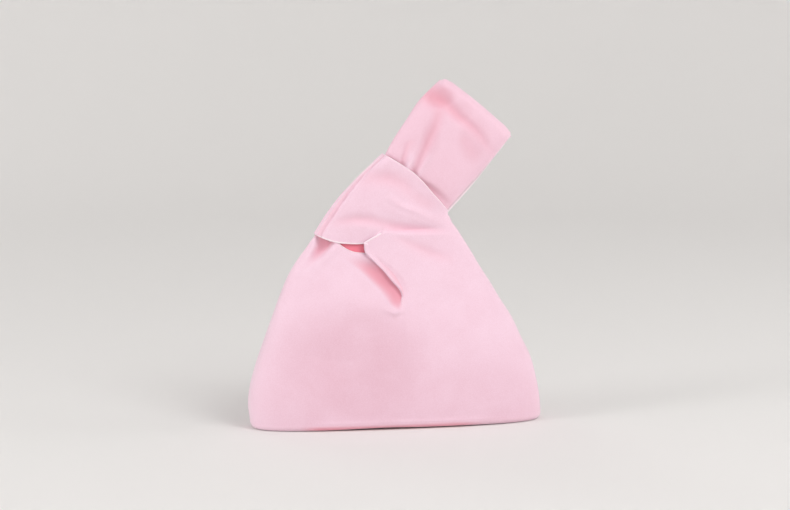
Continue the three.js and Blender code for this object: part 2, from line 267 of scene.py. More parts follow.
def add_object(name, data):
    item = bpy.data.objects.new(name, data)
    bpy.context.scene.collection.objects.link(item)
    return item


def add_mesh(name, points, faces, materials, slots=None, painted_shade=None):
    """Smooth mesh piece, with a material number for each face and the painted shade at each point."""
    mesh = bpy.data.meshes.new(name)
    mesh.from_pydata((np.asarray(points) * MM).tolist(), [], [tuple(face) for face in faces])
    for material in materials:
        mesh.materials.append(material)
    if slots is not None:
        mesh.polygons.foreach_set("material_index", np.asarray(slots, np.int32))
    if painted_shade is not None:
        attribute = mesh.attributes.new("painted_shade", "FLOAT", "POINT")
        attribute.data.foreach_set("value", painted_shade.astype(np.float32))
    mesh.polygons.foreach_set("use_smooth", np.ones(len(mesh.polygons), bool))
    mesh.update()
    return add_object(name, mesh)


# Materials

def shader_tree(name):
    material = bpy.data.materials.new(name)
    material.use_nodes = True
    tree = material.node_tree
    return material, tree, tree.nodes["Principled BSDF"]


def add_node(tree, kind, **values):
    node = tree.nodes.new(kind)
    for key, value in values.items():
        setattr(node, key, value)
    return node


def group_tree(name, inputs, outputs):
    tree = bpy.data.node_groups.new(name, "ShaderNodeTree")
    for label, kind, value in inputs:
        socket = tree.interface.new_socket(label, in_out="INPUT", socket_type=kind)
        if value is not None:
            socket.default_value = value
    for label, kind in outputs:
        tree.interface.new_socket(label, in_out="OUTPUT", socket_type=kind)
    return tree, tree.nodes.new("NodeGroupInput"), tree.nodes.new("NodeGroupOutput")


# Patches of painted shade, darker pile on the pouch (where the pile is also uneven), then on the strap:
# middle and reach in metres, and the share of paleness lost
SHADE_PATCHES = [
    ((-0.036, 0.0, 0.052), (0.064, 1.0, 0.052), 0.42),
    ((0.046, 0.0, 0.006), (0.110, 1.0, 0.050), 0.24),
    ((-0.078, 0.0, 0.028), (0.034, 1.0, 0.032), 0.24),
    ((0.0375, 0.0, 0.271), (0.012, 1.0, 0.009), 0.55),
    ((0.054, 0.0, 0.2575), (0.010, 1.0, 0.009), 0.22),
    ((0.065, 0.0, 0.234), (0.013, 1.0, 0.018), 0.26),
    ((0.0285, 0.0, 0.236), (0.008, 1.0, 0.015), 0.2),
]

# Clouds, grain and mottle of the nap: input that sizes them, detail and roughness
NAP_NOISES = [("Cloud size", 4.0, 0.55), ("Grain size", 3.0, 0.7), (None, 6.0, 0.7)]
MOTTLE_SIZE = 48.0
# Ranges of the noises that are used
NOISE_RANGE = (0.3, 0.7)
MOTTLE_RANGE = (0.35, 0.65)
# Share of pale pile that each noise adds, least and most
CLOUD_SHARE = (0.46, 0.6)
GRAIN_SHARE = (0.0, 0.28)
MOTTLE_SHARE = (0.0, 0.1)
# How far clouds and mottle push a patch's edge out, and the soft edge itself, in shares of its reach
CLOUD_PUSH = (0.0, 0.3)
MOTTLE_PUSH = (0.0, 0.25)
PATCH_EDGE = (0.3, 0.95)
NAP_ROUGHNESS = (0.82, 1.0)


def ranged(tree, source, span, result):
    """Output of a node that takes a value from one range to another, smoothly."""
    node = add_node(tree, "ShaderNodeMapRange", interpolation_type="SMOOTHSTEP")
    for key, value in zip(("From Min", "From Max", "To Min", "To Max"), span + result):
        node.inputs[key].default_value = value
    tree.links.new(source, node.inputs["Value"])
    return node.outputs["Result"]


def combined(tree, first, second, operation="ADD"):
    """Output of a node that works on two values, each a number or another node's output."""
    node = add_node(tree, "ShaderNodeMath", operation=operation, use_clamp=operation == "ADD")
    for k, value in enumerate((first, second)):
        if isinstance(value, float):
            node.inputs[k].default_value = value
        else:
            tree.links.new(value, node.inputs[k])
    return node.outputs["Value"]


def mixed(tree, share, first, second):
    """Output of a node that mixes two colours."""
    node = add_node(tree, "ShaderNodeMix", data_type="RGBA")
    for key, value in (("Factor", share), ("A", first), ("B", second)):
        tree.links.new(value, node.inputs[key])
    return node.outputs["Result"]


def painted_shade_patches(tree, place, clouds, mottle):
    """Mask of the patches of painted shade, with edges that the noises make uneven."""
    cloud_push = ranged(tree, clouds, NOISE_RANGE, CLOUD_PUSH)
    push = combined(tree, cloud_push, ranged(tree, mottle, NOISE_RANGE, MOTTLE_PUSH))
    patches = None
    for middle, reach, strength in SHADE_PATCHES:
        to_patch = add_node(tree, "ShaderNodeVectorMath", operation="SUBTRACT")
        to_patch.inputs[1].default_value = middle
        in_patch = add_node(tree, "ShaderNodeVectorMath", operation="DIVIDE")
        in_patch.inputs[1].default_value = reach
        away = add_node(tree, "ShaderNodeVectorMath", operation="LENGTH")
        tree.links.new(place, to_patch.inputs[0])
        tree.links.new(to_patch.outputs["Vector"], in_patch.inputs[0])
        tree.links.new(in_patch.outputs["Vector"], away.inputs[0])
        uneven = combined(tree, away.outputs["Value"], push, "SUBTRACT")
        patch = ranged(tree, uneven, PATCH_EDGE, (strength, 0.0))
        patches = patch if patches is None else combined(tree, patches, patch, "MAXIMUM")
    return patches


def nap_group():
    """Brushed nap: pale and darker pile in clouds and grain, patches of painted shade, painted shade in
    folds, and a bump height.
    """
    tree, given, result = group_tree(
        "brushed_nap",
        [
            ("Colour", "NodeSocketColor", (1, 1, 1, 1)),
            ("Pale", "NodeSocketColor", (1, 1, 1, 1)),
            ("Cloud size", "NodeSocketFloat", 22.0),
            ("Grain size", "NodeSocketFloat", 1400.0),
            ("Patch", "NodeSocketFloat", 0.0),
            ("Shade colour", "NodeSocketColor", (1, 1, 1, 1)),
        ],
        [("Colour", "NodeSocketColor"), ("Roughness", "NodeSocketFloat"), ("Height", "NodeSocketFloat")],
    )
    place = add_node(tree, "ShaderNodeTexCoord").outputs["Object"]
    noises = []
    for size, detail, roughness in NAP_NOISES:
        noise = add_node(tree, "ShaderNodeTexNoise")
        noise.inputs["Detail"].default_value = detail
        noise.inputs["Roughness"].default_value = roughness
        noise.inputs["Scale"].default_value = MOTTLE_SIZE
        tree.links.new(place, noise.inputs["Vector"])
        if size:
            tree.links.new(given.outputs[size], noise.inputs["Scale"])
        noises.append(noise.outputs["Fac"])
    clouds, grain, mottle = noises
    # Patches of painted shade take some of the paleness from the pile
    patches = painted_shade_patches(tree, place, clouds, mottle)
    lost = combined(tree, patches, given.outputs["Patch"], "MULTIPLY")
    cloud_share = ranged(tree, clouds, NOISE_RANGE, CLOUD_SHARE)
    share = combined(tree, cloud_share, ranged(tree, grain, NOISE_RANGE, GRAIN_SHARE))
    share = combined(tree, share, lost, "SUBTRACT")
    share = combined(tree, share, ranged(tree, mottle, MOTTLE_RANGE, MOTTLE_SHARE))
    colour = mixed(tree, share, given.outputs["Colour"], given.outputs["Pale"])
    # Painted shade: the colour goes over to the shade colour where the mesh's painted shade attribute is
    # high
    painted_shade = add_node(tree, "ShaderNodeAttribute", attribute_name="painted_shade")
    with_shade = mixed(tree, painted_shade.outputs["Fac"], colour, given.outputs["Shade colour"])
    tree.links.new(with_shade, result.inputs["Colour"])
    tree.links.new(ranged(tree, grain, (0.0, 1.0), NAP_ROUGHNESS), result.inputs["Roughness"])
    tree.links.new(grain, result.inputs["Height"])
    return tree


def srgb(red, green, blue):
    """Linear colour of a screen colour from 0 to 255."""
    shares = np.array([red, green, blue]) / 255
    linear = np.where(shares <= 0.04045, shares / 12.92, ((shares + 0.055) / 1.055) ** 2.4)
    return (*linear.tolist(), 1.0)


# Settings that all cloths share
BUMP_DEPTH = 0.0003
SHEEN_ROUGHNESS = 0.55
SHEEN_TINT = (1.0, 0.9, 0.95, 1.0)
CLOTH_SPECULAR = 0.12


def brushed_cloth(name, nap, colour, pale, sheen=0.35, bump=0.12, grain=1400.0, patch=0.0, shade_colour=None):
    """Material with the brushed nap, from a base colour, a paler one and a shade colour painted into
    folds.
    """
    material, tree, shader = shader_tree(name)
    group = add_node(tree, "ShaderNodeGroup", node_tree=nap)
    group.inputs["Colour"].default_value = colour
    group.inputs["Pale"].default_value = pale
    group.inputs["Grain size"].default_value = grain
    group.inputs["Patch"].default_value = patch
    group.inputs["Shade colour"].default_value = shade_colour or colour
    relief = add_node(tree, "ShaderNodeBump")
    relief.inputs["Strength"].default_value = bump
    relief.inputs["Distance"].default_value = BUMP_DEPTH
    tree.links.new(group.outputs["Colour"], shader.inputs["Base Color"])
    tree.links.new(group.outputs["Roughness"], shader.inputs["Roughness"])
    tree.links.new(group.outputs["Height"], relief.inputs["Height"])
    tree.links.new(relief.outputs["Normal"], shader.inputs["Normal"])
    shader.inputs["Sheen Weight"].default_value = sheen
    shader.inputs["Sheen Roughness"].default_value = SHEEN_ROUGHNESS
    shader.inputs["Sheen Tint"].default_value = SHEEN_TINT
    shader.inputs["Specular IOR Level"].default_value = CLOTH_SPECULAR
    return material


nap = nap_group()
# The third colour of the pink cloth is painted shade, for folds, hollows, the pocket, the foot and the
# strap
pink_cloth = brushed_cloth(
    "pink_suedette", nap, srgb(230, 184, 200), srgb(251, 219, 235),
    sheen=0.8, patch=1.0, shade_colour=srgb(240, 163, 180),
)
# The paler colour of rims and hems is partly painted highlight, for light catching the rolled edges
pale_edge = brushed_cloth("rolled_edge", nap, srgb(250, 222, 234), srgb(255, 238, 245), sheen=0.5)
rose_lining = brushed_cloth(
    "rose_lining", nap, srgb(242, 118, 138), srgb(246, 142, 160), sheen=0.1, bump=0.06,
)
white_wadding = brushed_cloth("white_wadding", nap, srgb(238, 232, 230), srgb(250, 248, 246), grain=500.0)
grey_board = brushed_cloth("stiff_board", nap, srgb(206, 198, 190), srgb(222, 216, 208), sheen=0.0)
pale_thread = brushed_cloth("pale_thread", nap, srgb(248, 214, 226), srgb(255, 236, 243), grain=3000.0)


# Front and back of the bag

# Pleat by height: how far right its fold lies, its turn in degrees, and how far the cloth goes under it
PLEAT_LINE = [
    (8, 4), (60, 2), (90, -0.2), (96.7, 0.2), (100.7, 1.4), (104.7, 2.3), (109.6, 2.8), (114.5, 0.4),
    (120.3, -4.8), (130.3, -12.9), (138.3, -21.1), (143.8, -26), (151.2, -27.3), (162, -28.5),
]
PLEAT_TURN = [(96, 0), (104, -6), (109, 12), (116, 40), (134, 44), (141, 34), (150, 6)]
PLEAT_OVERLAP = [(99, 0), (104, 1.2), (109, 3.4), (116, 6), (130, 8), (151, 9)]
# Distances across the pleat in which the cloth turns back, the shift fades, and the depth changes
PLEAT_SHARPNESS = 2.0
PLEAT_SPREAD = 14.0
PLEAT_STEP = 1.2
# Distances beyond the overlap in which the unpleated layers come forward
BEHIND_PLEAT = (1.0, 7.0)
# Lip of the hollow left of the pleat, from its upper end to its rounded lower end
LIP = [
    (-52, 146), (-43, 139), (-36.5, 134), (-30, 128.6), (-22, 121), (-15.2, 113.6), (-10.2, 106.8),
    (-6.4, 101.2), (-2, 98), (4, 96.6),
]
# Hollow between the lip and the pleat: how quickly it falls from the lip, and its depth by height
HOLLOW_POWER = 0.55
HOLLOW_DEPTH = [
    (96.6, 0), (99.5, 0.8), (103, 1.4), (108, 1.8), (116, 2), (124, 2), (130, 1.7), (134, 1.2),
    (137.5, 0.7), (140.5, 0.3), (144, 0),
]
# Beside the fold the hollow rises again: share of its depth by height, and reach
FOLD_RISE = [(110, 0), (117, 0.15), (122, 0.4), (128, 0.6)]
FOLD_REACH = 4.0
# Pocket below the short loop's left end: soft rise on its left, crisp ridge on its right, depth by
# height, and the distances in which it falls from the ridge and from the rise
POCKET_LEFT = [(-61, 165), (-62.3, 155.5), (-63.2, 148.5), (-66, 144), (-69.5, 138), (-76, 129)]
POCKET_RIDGE = [
    (-43, 166), (-47, 158), (-50.1, 152), (-53.7, 147.5), (-57.2, 144.1), (-61.9, 140), (-70.2, 132.8),
    (-79.6, 125.2), (-88, 117),
]
POCKET_DROP = [(120, 0), (127, 0.5), (133, 1.3), (139, 2.8), (145, 4.8), (151, 6), (160, 6)]
RIDGE_EASE = (-0.4, 2.4)
RISE_EASE = (-4.5, 2.5)

# Free top edges: distance right of the middle, then height
LEFT_TOP = [
    (-66, 171), (-60, 169), (-54, 163), (-50, 156), (-47.4, 152), (-41.9, 147.4), (-36.1, 144.6),
    (-31.2, 143.8), (-26.2, 143.4), (-12, 138.5), (5, 133),
]
# The lining stands above the left panel's edge, behind the short loop
LEFT_LINING_TOP = [
    (-66, 171), (-60, 169), (-54, 163.5), (-48, 158), (-42.4, 155.5), (-33.3, 154), (-25.9, 152.5),
    (-12, 148), (5, 142),
]
RIGHT_TOP = [
    (-27.3, 151.4), (-20.8, 155.1), (-16.1, 157.5), (-12.1, 159.8), (-6, 159.4), (4.6, 158.3),
    (19.5, 157.2), (39, 155.9), (56, 155.3),
]
# Notch between the free edge and the crease under the short loop, distances left of it in which the
# crease fades, and the crease's width
NOTCH = -12.1
NOTCH_EASE = (-1.5, 7.0)
CREASE_WIDTH = [(-12.1, 1.8), (5, 3), (20, 5), (40, 9), (56, 13)]
# Lower and upper edge of the short loop: distance right of the middle, then height
BAND_LOWER = [
    (-65.9, 159.2), (-59.5, 156.4), (-49.4, 153), (-38.6, 151.7), (-30, 151.4), (-23.5, 152),
    (-17.5, 154.2), (-13.6, 157.2),
]
BAND_UPPER = [
    (-9.6, 223.3), (-1.8, 218.8), (5.3, 214.3), (13.6, 208.6), (21.7, 201), (29.6, 191.8), (36.4, 184.3),
    (44.6, 175),
]

# Soft ridges and valleys: rows of x, z, height and width
BODY_CRESTS = [
    [(-38, 143, 0, 3), (-30, 141.4, 1.4, 3.2), (-23, 139, 1.6, 3.2), (-16, 135, 0, 3)],
    [(-47, 156, 0, 3), (-51, 146.5, 1, 3.2), (-59.5, 138.5, 1.8, 3.4), (-69.5, 130, 1.8, 4.2),
     (-86, 114, 0, 7)],
    [(-24, 146, 0, 1.6), (-15.5, 138, -0.7, 2), (-6.5, 130.5, -0.9, 2.2), (2.2, 121, -0.9, 2.4),
     (6, 113, -0.6, 2.8), (6, 103, 0, 3)],
    [(-18, 103.5, 0, 3), (-10, 98, 1.3, 2.6), (-3.5, 95.4, 1.9, 2.4), (2, 96.5, 1.2, 2.4),
     (4, 104, 0, 2)],
    [(3.5, 96, 0.6, 4), (3, 84, 1.6, 4.5), (2.5, 68, 1.6, 5.5), (3, 50, 0.8, 7), (4, 30, 0, 9)],
    [(-5.6, 157, 0, 2.5), (6.9, 152.6, -0.9, 3.4), (19.3, 146.6, -1.4, 4.2), (36, 139.6, -1.3, 4.6),
     (51, 135, 0, 5)],
    [(-75, 6.5, 0, 1.6), (-40, 6.5, 0.7, 1.6), (60, 6, 0.7, 1.6), (100, 6, 0, 1.6)],
]
# Broad swells and hollows of the pouch
BODY_SWELLS = [
    [(-70, 104, 0, 10), (-45, 104, 1.4, 10), (-20, 100, 1.6, 9), (0, 94, 0, 8)],
    [(-52, 80, -1.6, 24), (-58, 58, -3.4, 30), (-50, 30, -1.6, 24)],
    [(30, 122, 0, 12), (29, 100, -1.7, 12), (26, 60, -1.6, 13), (24, 30, 0, 14)],
]
BAND_CRESTS = [
    [(-57, 166, 0, 3.5), (-46.1, 169.6, -1.2, 3.8), (-33.7, 171, -2, 4), (-21.4, 170, -2, 4.4),
     (-10.4, 167, -1.7, 4.4), (-2.1, 164.2, -2.2, 4.6), (10.3, 161.6, -2.5, 4.4),
     (25.6, 159.6, -2.4, 4.4), (38.1, 158.2, -1.5, 4.2), (50, 156, 0, 4)],
    [(-15, 193, 0, 5), (-4.6, 187.4, 0.9, 3.2), (2.4, 182.4, 1.4, 2.6), (9.4, 179.2, 1.5, 2.6),
     (16.4, 177, 1.4, 2.8), (24.8, 172.8, 1.2, 3.2), (34.5, 169, 0.8, 4), (46, 162, 0, 5)],
    [(-22, 190, 0, 7), (-9, 181.5, 0.6, 6), (5, 175.8, 1.1, 5), (18, 171, 1, 4.6), (32, 165.5, 0.4, 4),
     (42, 161, 0, 4)],
    [(4, 199, 0, 6), (10, 193, -0.9, 6), (17, 188, -1.2, 6), (25, 183.5, -1.1, 6), (34, 177, 0, 6)],
    [(-34, 198, 0, 7), (-20, 204.5, -1.5, 6.5), (-7, 204.5, -2.2, 6.5), (5, 200, -1.7, 6.5),
     (15, 193, 0, 6)],
]


def rounded(share):
    """Rounded section: 1 in the middle, 0 at the edge."""
    return (1 - np.clip(np.abs(share), 0, 1) ** SECTION_POWER) ** (1 / SECTION_POWER)


# Depth of a valley at which its cloth has the full painted shade
DEEP_VALLEY = 8.0
# Share of painted shade on the facet of the short loop, and all over the strap
FACET_SHADE = 0.24
STRAP_SHADE = 0.13
# Share of the hollow's fall, and depths of hollow and pocket, in which the painted shade comes in
HOLLOW_FALL_SHADE = (0.0, 0.76)
HOLLOW_SHADE = (0.0, 2.1)
POCKET_SHADE = (0.5, 8.0)
# Widths of the facet in which the painted shade comes in and goes again
FACET_SHADE_IN = (0.1, 0.4)
FACET_SHADE_OUT = (1.08, 0.98)
# Heights at which the lean of the short loop's left fold is measured
BAND_HEIGHTS = np.arange(150.0, 230.0)


def panel_depth(x, z, right_share):
    """Half depth of the pouch left (0) or right (1) of the pleat, and the painted shade of its valleys,
    hollow and pocket.
    """
    depth = mix(follow(LEFT_DEPTH, z), follow(RIGHT_DEPTH, z), right_share)
    side = np.where(x < 0, follow(LEFT_SIDE, z), follow(RIGHT_SIDE, z))
    relief = crests(BODY_CRESTS, x, z)
    depth = depth + relief + crests(BODY_SWELLS, x, z)
    inside = np.maximum(signed_gap(LIP, x, z), 0)
    to_fold = np.maximum(follow(PLEAT_LINE, z) - x, 0) * pleat_lean(z)
    hollow = (inside / np.maximum(inside + to_fold, SEAM_HALF)) ** HOLLOW_POWER
    beside_fold = np.exp(-((to_fold / FOLD_REACH) ** 2))
    fall = (1 - right_share) * hollow * follow(HOLLOW_DEPTH, z)
    depth = depth - fall * (1 - follow(FOLD_RISE, z) * beside_fold)
    from_ridge = ease(-signed_gap(POCKET_RIDGE, x, z), *RIDGE_EASE)
    pocket = from_ridge * ease(signed_gap(POCKET_LEFT, x, z), *RISE_EASE)
    depth = depth * rounded(x / side) - follow(POCKET_DROP, z) * pocket
    # Painted shade: valleys, the hollow beside the pleat and the pocket get a darker colour where they lie
    # in shade
    painted_shade = np.clip(-relief / DEEP_VALLEY, 0, 1)
    in_hollow = ease(hollow, *HOLLOW_FALL_SHADE) * ease(follow(HOLLOW_DEPTH, z), *HOLLOW_SHADE)
    painted_shade = np.maximum(painted_shade, (1 - right_share) * in_hollow)
    painted_shade = np.maximum(painted_shade, pocket * ease(follow(POCKET_DROP, z), *POCKET_SHADE))
    return np.maximum(np.maximum(depth, LEAST_DEPTH * rounded(x / side)), SEAM_HALF), painted_shade


def band_depth(x, z):
    """Half depth of the short loop at a place, and the painted shade of its valleys and facet."""
    rise = z - follow(RIGHT_TOP, x)
    clear = np.maximum(ease(rise / follow(CREASE_WIDTH, x), 0.0, 1.0), ease(NOTCH - x, *NOTCH_EASE))
    depth = mix(follow(RIGHT_DEPTH, z), follow(BAND_DEPTH, z), clear)
    lean = np.interp(z, BAND_HEIGHTS, np.gradient(follow(BAND_SIDE, BAND_HEIGHTS)))
    from_fold = np.maximum(x - follow(BAND_SIDE, z), 0) / np.hypot(1, lean)
    relief = crests(BAND_CRESTS, x, z) * clear
    facet = from_fold / follow(FACET_WIDTH, z)
    right = rounded(np.maximum(x, 0) / follow(RIGHT_SIDE, z))
    depth = (depth + relief) * follow(FOLD_SHARES, facet) * right
    beside = FACET_SHADE * ease(facet, *FACET_SHADE_IN) * ease(facet, *FACET_SHADE_OUT)
    painted_shade = np.maximum(np.clip(-relief / DEEP_VALLEY, 0, 1), beside)
    return np.maximum(depth, SEAM_HALF), painted_shade


# How far the edge of the base lifts off: distance right of the middle, then height
BASE_LIFT = [(-100, 0), (-60, 0.3), (-30, 1.1), (-12, 1.4), (15, 0.9), (60, 0.6), (100, 0)]

# Heights in which the foot of the bag turns to painted shade, where it curls under, and where this fades
# to the sides
FOOT_SHADE = (5.2, 2.2)
FOOT_LEFT = (-85.0, -65.0)
FOOT_RIGHT = (75.0, 45.0)

# Counts of rows and columns of points
HALF_COLUMNS = 110
BASE_ROWS = 10
CORNER_ROWS = 8
WALL_ROWS = 130
FREE_COLUMNS = 50
BAND_ROWS = 84
FOLD_SAMPLES = 80
CREASE_SAMPLES = 40
PLEAT_SAMPLES = 60
# Rounds in which the columns settle on the slanting top edge
SETTLE_ROUNDS = 60
# Rows are level for a share of the way to this height, and then come to follow the top edge
LEVEL_HEIGHT = 150.0
LEVEL_SHARE = 0.55
# Half the base's length, and share of its half depth that its middle line is shorter by at each end
BASE_HALF = 120.0
SPINE_SHARE = 0.8


def pleat_lean(z):
    """Distance across the pleat for each millimetre to the right."""
    return np.cos(np.radians(follow(PLEAT_TURN, z)))


def pleat_shift(distance, overlap):
    """How far a point moves across the pleat: the cloth goes under the fold, back and over again."""
    sample = np.linspace(0, 3 * PLEAT_SHARPNESS, PLEAT_SAMPLES)
    least = (sample - overlap[..., None] * np.tanh(sample / PLEAT_SHARPNESS)).min(-1)
    fade = np.exp(-((distance / PLEAT_SPREAD) ** 2))
    return (-least - overlap * np.tanh(distance / PLEAT_SHARPNESS)) * fade


def panel_row(places, z, pleated):
    """Where the grid's columns are at a height, and their share of the right panel, beyond the pleat."""
    line = follow(PLEAT_LINE, z)
    side = np.where(places < 0, follow(LEFT_SIDE, z), follow(RIGHT_SIDE, z))
    x = line + np.abs(places) * (side - line)
    lean = pleat_lean(z)
    distance = (x - line) * lean
    overlap = follow(PLEAT_OVERLAP, z)
    if not pleated:
        return x, ease(distance, overlap + BEHIND_PLEAT[0], overlap + BEHIND_PLEAT[1])
    return x + pleat_shift(distance, overlap) / lean, 0.5 + 0.5 * np.tanh(distance / PLEAT_STEP)


def base_rows(foot_x, foot_y):
    """Rows of the grid from the middle line of the base to its edge, and up round the edge to the wall."""
    base_depth = follow(BODY_DEPTH, BASE_RADIUS)
    side = np.abs(np.where(foot_x < 0, foot_x[0], foot_x[-1]))
    lift = follow(BASE_LIFT, foot_x)
    spine = 1 - SPINE_SHARE * (base_depth - BASE_RADIUS) / BASE_HALF

    def drawn_in(cut):
        """Foot of the wall, moved in by a distance."""
        return foot_x * (1 - cut / side), np.maximum(foot_y * (1 - cut / base_depth), SEAM_HALF)

    rows = []
    x, y = drawn_in(BASE_RADIUS)
    for share in np.arange(BASE_ROWS) / BASE_ROWS:
        rows.append((x * mix(spine, 1, share), mix(SEAM_HALF, y, share), lift * share**2))
    for share in np.arange(CORNER_ROWS) / CORNER_ROWS:
        rise, out = 1 - math.cos(math.pi / 2 * share), math.sin(math.pi / 2 * share)
        rows.append((*drawn_in(BASE_RADIUS * (1 - out)), mix(lift, BASE_RADIUS, rise)))
    return np.array(rows)


def panel_grid(pleated):
    """Grid of the panel from the middle of the base up: place, half depth, height and painted shade."""
    places = np.concatenate([spread(HALF_COLUMNS) - 1, spread(HALF_COLUMNS)[1:]])
    top = np.full(places.shape, LEVEL_HEIGHT)
    for _ in range(SETTLE_ROUNDS):
        x, right_share = panel_row(places, top, pleated)
        left_top = follow(LEFT_TOP if pleated else LEFT_LINING_TOP, x)
        top = mix(left_top, follow(RIGHT_TOP, x), right_share)
    level = np.linspace(0, 1, WALL_ROWS + 1)[:, None]
    z = BASE_RADIUS + (LEVEL_HEIGHT - BASE_RADIUS) * level
    z = z + (top - LEVEL_HEIGHT) * ease(level, LEVEL_SHARE, 1.0)
    x, right_share = panel_row(places, z, pleated)
    y, painted_shade = panel_depth(x, z, right_share)
    base = base_rows(x[0], y[0])
    x, y, z = (np.concatenate([base[:, k], values]) for k, values in enumerate((x, y, z)))
    # Painted shade along the foot, where the base curls under
    under = ease(z, *FOOT_SHADE) * ease(x, *FOOT_LEFT) * ease(x, *FOOT_RIGHT)
    return x, y, z, np.concatenate([under[:len(base)], np.maximum(painted_shade, under[len(base):])])


def between_edges(bottom, top, left, right):
    """Places between four edges, each a row of points in the front plane."""
    u = np.linspace(0, 1, len(bottom))[None, :, None]
    v = np.linspace(0, 1, len(left))[:, None, None]
    flat = (1 - v) * bottom[None] + v * top[None] + (1 - u) * left[:, None] + u * right[:, None]
    corners = (1 - u) * (1 - v) * bottom[0] + u * (1 - v) * bottom[-1]
    return flat - (corners + (1 - u) * v * top[0] + u * v * top[-1])


def bag_surface(pleated):
    """Outer face of the pouch and the short loop in one: points, faces and painted shade."""
    x, y, z, painted_shade = panel_grid(pleated)
    rows, columns = x.shape
    index = np.arange(rows * columns).reshape(rows, columns)
    points = np.stack([x, y, z], -1).reshape(-1, 3)
    notch = HALF_COLUMNS + int(np.argmin(np.abs(x[-1, HALF_COLUMNS:] - NOTCH)))
    shared = index[-1, notch:]
    crease = points[shared][:, [0, 2]]
    free_places = 1 - np.cos(np.linspace(0, np.pi / 2, FREE_COLUMNS + 1))
    opening = curve_points(BAND_LOWER + [tuple(crease[0])], FREE_COLUMNS, free_places)
    bottom = np.concatenate([opening[:-1], crease])
    run = run_along(bottom)
    top = curve_points(BAND_UPPER, len(bottom) - 1, run / run[-1])
    left_heights = np.linspace(BAND_SIDE[0][0], BAND_SIDE[-1][0], FOLD_SAMPLES)
    left = curve_points(np.stack([follow(BAND_SIDE, left_heights), left_heights], 1), BAND_ROWS)
    right_heights = np.linspace(crease[-1, 1], BAND_UPPER[-1][1], CREASE_SAMPLES)
    right = curve_points(np.stack([follow(RIGHT_SIDE, right_heights), right_heights], 1), BAND_ROWS)
    band = between_edges(bottom, top, left, right)
    depth, band_painted_shade = band_depth(band[..., 0], band[..., 1])
    band_points = at_depth(band, depth).reshape(-1, 3)
    band_index = len(points) + np.arange(len(band_points)).reshape(depth.shape)
    band_index[0, FREE_COLUMNS:] = shared
    faces = np.concatenate([grid_faces(index), grid_faces(band_index)])
    everything = np.concatenate([points, band_points])
    keep = np.unique(faces)
    renumber = np.full(len(everything), -1)
    renumber[keep] = np.arange(len(keep))
    painted_shade = np.concatenate([painted_shade.ravel(), band_painted_shade.ravel()])[keep]
    return everything[keep], outer_side(everything[keep], renumber[faces]), painted_shade


def outer_side(points, faces):
    """Faces turned so that their normals look forward, away from the middle of the bag."""
    return faces if point_normals(points, faces)[:, 1].sum() > 0 else faces[:, ::-1]


def grid_surface(place, depth, painted_shade):
    """Points, faces and painted shade at each point, for a grid of places with half depths."""
    points = at_depth(place, depth).reshape(-1, 3)
    faces = grid_faces(np.arange(depth.size).reshape(depth.shape))
    return points, outer_side(points, faces), painted_shade.ravel()


def add_layer(name, surface, side, inset, thickness, materials):
    """Layer of cloth at a distance below a surface, on the front (side -1) or the back (side 1)."""
    points, faces, painted_shade = surface
    points = points - point_normals(points, faces) * np.asarray(inset).reshape(-1, 1)
    points[:, 1] = np.maximum(points[:, 1], SEAM_HALF)
    points = points * [1, side, 1]
    if side < 0:
        faces = faces[:, ::-1]
    points, faces, painted_shade, rims = thicken(points, faces, painted_shade, thickness)
    return add_mesh(name, points, faces, materials, rims, painted_shade)


# Front and back with the sign of their depth, and materials of the faces and of the free rims
SIDES = (("front", -1), ("back", 1))
CLOTH = [pink_cloth, pale_edge]
ROSE = [rose_lining, rose_lining]
# Wadding: thickness, then the height that it ends at
WADDING = 1.4
WADDING_TOP = 96.0
# Distance of the lining below the outer face, over the board and over the wadding, and the heights in
# which it goes from one to the other, and then up to the cloth
PADDED_INSET = (5.4, 3.1)
BOARD_EDGE = (0.0, 8.0)
WADDING_END = (96.0, 122.0)


def lining_inset(z):
    """Distance of the lining below the outer face at a height."""
    padded = mix(*PADDED_INSET, ease(z, *BOARD_EDGE))
    return mix(padded, WEB + LAYER_GAP, ease(z, *WADDING_END))


def join_pouch_and_loop(piece):
    """Cloth that goes on from the pouch into the short loop, with its placing baked into its mesh."""
    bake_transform(piece)


def add_cloth(name, side, surface):
    cloth = add_layer(f"{name}_cloth", surface, side, 0.0, WEB, CLOTH)
    join_pouch_and_loop(cloth)
    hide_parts(f"outer_{name}_panel", f"loop_{name}_web")


def add_lining(name, side, surface):
    inset = lining_inset(surface[0][:, 2])
    lining = add_layer(f"{name}_lining", surface, side, inset, LINING, ROSE)
    join_pouch_and_loop(lining)
    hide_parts(f"lining_{name}", f"loop_{name}_lining")


def add_wadding(name, side, surface):
    points, faces, painted_shade = surface
    low = (points[faces][:, :, 2] < WADDING_TOP).all(1)
    materials = [white_wadding, white_wadding]
    surface = (points, faces[low], painted_shade)
    wadding = add_layer(f"{name}_wadding", surface, side, WEB + LAYER_GAP, WADDING, materials)
    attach(wadding, "pouch")
    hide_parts(f"wadding_{name}")


pleated_surface = bag_surface(pleated=True)
plain_surface = bag_surface(pleated=False)
for name, side in SIDES:
    add_cloth(name, side, pleated_surface)
    add_lining(name, side, plain_surface)
    add_wadding(name, side, plain_surface)


# Long strap. Its own directions are along it from the knot point, and across it to the upper left.

# Lower end inside the knot, then the edges by distance along: left, and right for front (-1) and back (1)
STRAP_FOOT = -12.0
STRAP_LEFT = [(-12, 31.2), (0, 31.9), (9, 33.6), (19, 35), (33, 36.2), (53, 38), (66.7, 36.6), (80, 34.7)]
STRAP_RIGHT = {
    -1: [(-12, -36.8), (-2, -37.2), (18, -38.4), (33, -39.2), (49, -39.8), (68, -40), (80, -39.8)],
    1: [(-12, -38.8), (-4, -39.4), (12, -40.4), (34, -41.2), (57, -41), (80, -40.6)],
}
